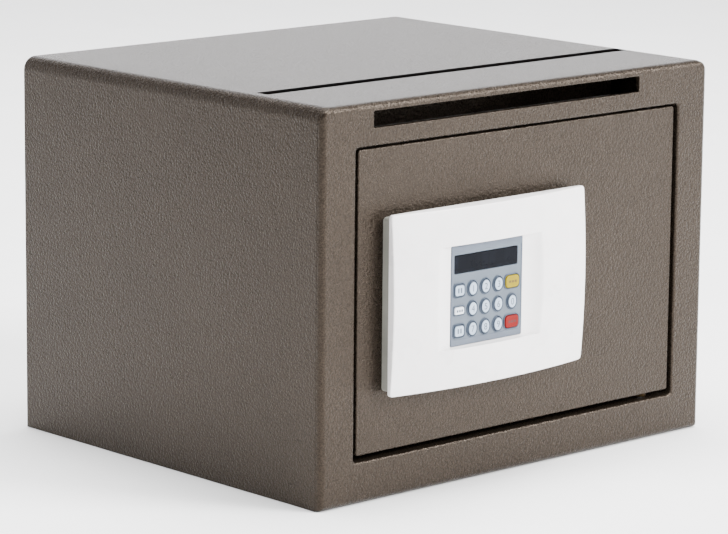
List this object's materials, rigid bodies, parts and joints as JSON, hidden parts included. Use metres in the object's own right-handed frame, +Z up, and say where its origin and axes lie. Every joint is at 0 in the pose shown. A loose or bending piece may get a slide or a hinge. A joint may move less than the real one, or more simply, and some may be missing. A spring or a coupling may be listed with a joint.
{
  "type": "drop safe",
  "caption": "Box-shaped steel drop safe with a letter slot above its door, a cross slot in its top, and a keypad lock that moves round bolts.",
  "frame": {"origin": "centre of the body's base, on the floor", "axes": "+Z up, -Y out of the front face, +X to the right of a viewer who faces the door"},
  "size_m": [0.35, 0.3187, 0.255],
  "materials": {
    "powder_coat": "dark bronze-grey hammertone powder coat",
    "zinc_steel": "bright zinc plated",
    "brass": "turned",
    "felt": "matt felt",
    "white_cover": "smooth white, half gloss",
    "grey_plinth": "smooth grey",
    "bezel": "fine satin blue-grey",
    "display": "dark glossy window",
    "key_grey": "pale blue-grey",
    "key_white": "white",
    "key_yellow": "yellow",
    "key_red": "red",
    "black_plastic": "fine texture",
    "white_acetal": "smooth",
    "cell_case": "lacquered",
    "board": "green solder mask",
    "rubber": "matt"
  },
  "bodies": {
    "body": {"front_frame": "powder_coat", "body_wrap": "powder_coat", "base_plate": "powder_coat", "back_panel": "powder_coat", "floor_mat": "felt", "deposit_chute": "powder_coat", "fishing_guard": "powder_coat", "hinge_pin_lower": "zinc_steel", "hinge_pin_upper": "zinc_steel", "hinge_bush_lower": "brass", "hinge_bush_upper": "brass"},
    "door": {"door_panel": "powder_coat", "hinge_lug_lower": "zinc_steel", "hinge_lug_upper": "zinc_steel", "lock_case": "powder_coat", "case_cover": "black_plastic", "cover_screw_1": "zinc_steel", "cover_screw_2": "zinc_steel", "cover_screw_3": "zinc_steel", "cover_screw_4": "zinc_steel", "lock_board": "board", "cable_grommet": "rubber", "keypad_cable": "rubber", "bolt_guide_upper": "white_acetal", "bolt_guide_lower": "white_acetal", "guide_post_1": "zinc_steel", "guide_post_2": "zinc_steel", "gearbox_housing": "white_acetal", "motor_can": "zinc_steel", "battery_tray": "black_plastic", "battery_cell_1": "cell_case", "battery_cell_2": "cell_case", "battery_cell_3": "cell_case", "battery_cell_4": "cell_case", "keypad_base": "grey_plinth", "keypad_shell": "white_cover", "keypad_bezel": "bezel", "display_window": "display", "keypad_board": "board"},
    "bolt_work": {"bolt_carriage": "zinc_steel", "lock_bolt_upper": "zinc_steel", "lock_bolt_lower": "zinc_steel"},
    "pinion": {"drive_pinion": "brass"},
    "battery_cover": {"battery_lid": "black_plastic"},
    "key_row1_col1_cap": {"key_row1_col1": "key_grey"},
    "key_row1_col2_cap": {"key_row1_col2": "key_grey"},
    "key_row1_col3_cap": {"key_row1_col3": "key_grey"},
    "key_row1_col4_cap": {"key_row1_col4": "key_grey"},
    "key_row1_col5_cap": {"key_row1_col5": "key_yellow"},
    "key_row2_col1_cap": {"key_row2_col1": "key_white"},
    "key_row2_col2_cap": {"key_row2_col2": "key_grey"},
    "key_row2_col3_cap": {"key_row2_col3": "key_grey"},
    "key_row2_col4_cap": {"key_row2_col4": "key_grey"},
    "key_row2_col5_cap": {"key_row2_col5": "key_grey"},
    "key_row3_col1_cap": {"key_row3_col1": "key_grey"},
    "key_row3_col2_cap": {"key_row3_col2": "key_grey"},
    "key_row3_col3_cap": {"key_row3_col3": "key_grey"},
    "key_row3_col4_cap": {"key_row3_col4": "key_grey"},
    "key_row3_col5_cap": {"key_row3_col5": "key_red"}
  },
  "joints": [
    {"name": "door_hinge", "type": "hinge", "parent": "body", "child": "door", "pos_m": [0.12585, -0.1396, 0.1286], "axis": [0, 0, 1], "range_deg": [0, 105]},
    {"name": "bolt_slide", "type": "slide", "parent": "door", "child": "bolt_work", "axis": [-1, 0, 0], "range_m": [0, 0.016]},
    {"name": "pinion_turn", "type": "hinge", "parent": "door", "child": "pinion", "pos_m": [-0.0499, -0.1264, 0.1435], "axis": [0, 1, 0], "range_deg": [0, 131]},
    {"name": "battery_lid_slide", "type": "slide", "parent": "door", "child": "battery_cover", "axis": [-1, 0, 0], "range_m": [0, 0.092]},
    {"name": "key_row1_col1_press", "type": "slide", "parent": "door", "child": "key_row1_col1_cap", "axis": [0, 1, 0], "range_m": [0, 0.001], "stiffness_N_per_m": 400},
    {"name": "key_row1_col2_press", "type": "slide", "parent": "door", "child": "key_row1_col2_cap", "axis": [0, 1, 0], "range_m": [0, 0.001], "stiffness_N_per_m": 400},
    {"name": "key_row1_col3_press", "type": "slide", "parent": "door", "child": "key_row1_col3_cap", "axis": [0, 1, 0], "range_m": [0, 0.001], "stiffness_N_per_m": 400},
    {"name": "key_row1_col4_press", "type": "slide", "parent": "door", "child": "key_row1_col4_cap", "axis": [0, 1, 0], "range_m": [0, 0.001], "stiffness_N_per_m": 400},
    {"name": "key_row1_col5_press", "type": "slide", "parent": "door", "child": "key_row1_col5_cap", "axis": [0, 1, 0], "range_m": [0, 0.001], "stiffness_N_per_m": 400},
    {"name": "key_row2_col1_press", "type": "slide", "parent": "door", "child": "key_row2_col1_cap", "axis": [0, 1, 0], "range_m": [0, 0.001], "stiffness_N_per_m": 400},
    {"name": "key_row2_col2_press", "type": "slide", "parent": "door", "child": "key_row2_col2_cap", "axis": [0, 1, 0], "range_m": [0, 0.001], "stiffness_N_per_m": 400},
    {"name": "key_row2_col3_press", "type": "slide", "parent": "door", "child": "key_row2_col3_cap", "axis": [0, 1, 0], "range_m": [0, 0.001], "stiffness_N_per_m": 400},
    {"name": "key_row2_col4_press", "type": "slide", "parent": "door", "child": "key_row2_col4_cap", "axis": [0, 1, 0], "range_m": [0, 0.001], "stiffness_N_per_m": 400},
    {"name": "key_row2_col5_press", "type": "slide", "parent": "door", "child": "key_row2_col5_cap", "axis": [0, 1, 0], "range_m": [0, 0.001], "stiffness_N_per_m": 400},
    {"name": "key_row3_col1_press", "type": "slide", "parent": "door", "child": "key_row3_col1_cap", "axis": [0, 1, 0], "range_m": [0, 0.001], "stiffness_N_per_m": 400},
    {"name": "key_row3_col2_press", "type": "slide", "parent": "door", "child": "key_row3_col2_cap", "axis": [0, 1, 0], "range_m": [0, 0.001], "stiffness_N_per_m": 400},
    {"name": "key_row3_col3_press", "type": "slide", "parent": "door", "child": "key_row3_col3_cap", "axis": [0, 1, 0], "range_m": [0, 0.001], "stiffness_N_per_m": 400},
    {"name": "key_row3_col4_press", "type": "slide", "parent": "door", "child": "key_row3_col4_cap", "axis": [0, 1, 0], "range_m": [0, 0.001], "stiffness_N_per_m": 400},
    {"name": "key_row3_col5_press", "type": "slide", "parent": "door", "child": "key_row3_col5_cap", "axis": [0, 1, 0], "range_m": [0, 0.001], "stiffness_N_per_m": 400}
  ],
  "couplings": [
    {"joint": "pinion_turn", "follows": "bolt_slide", "rad_per_m": 142.86}
  ]
}
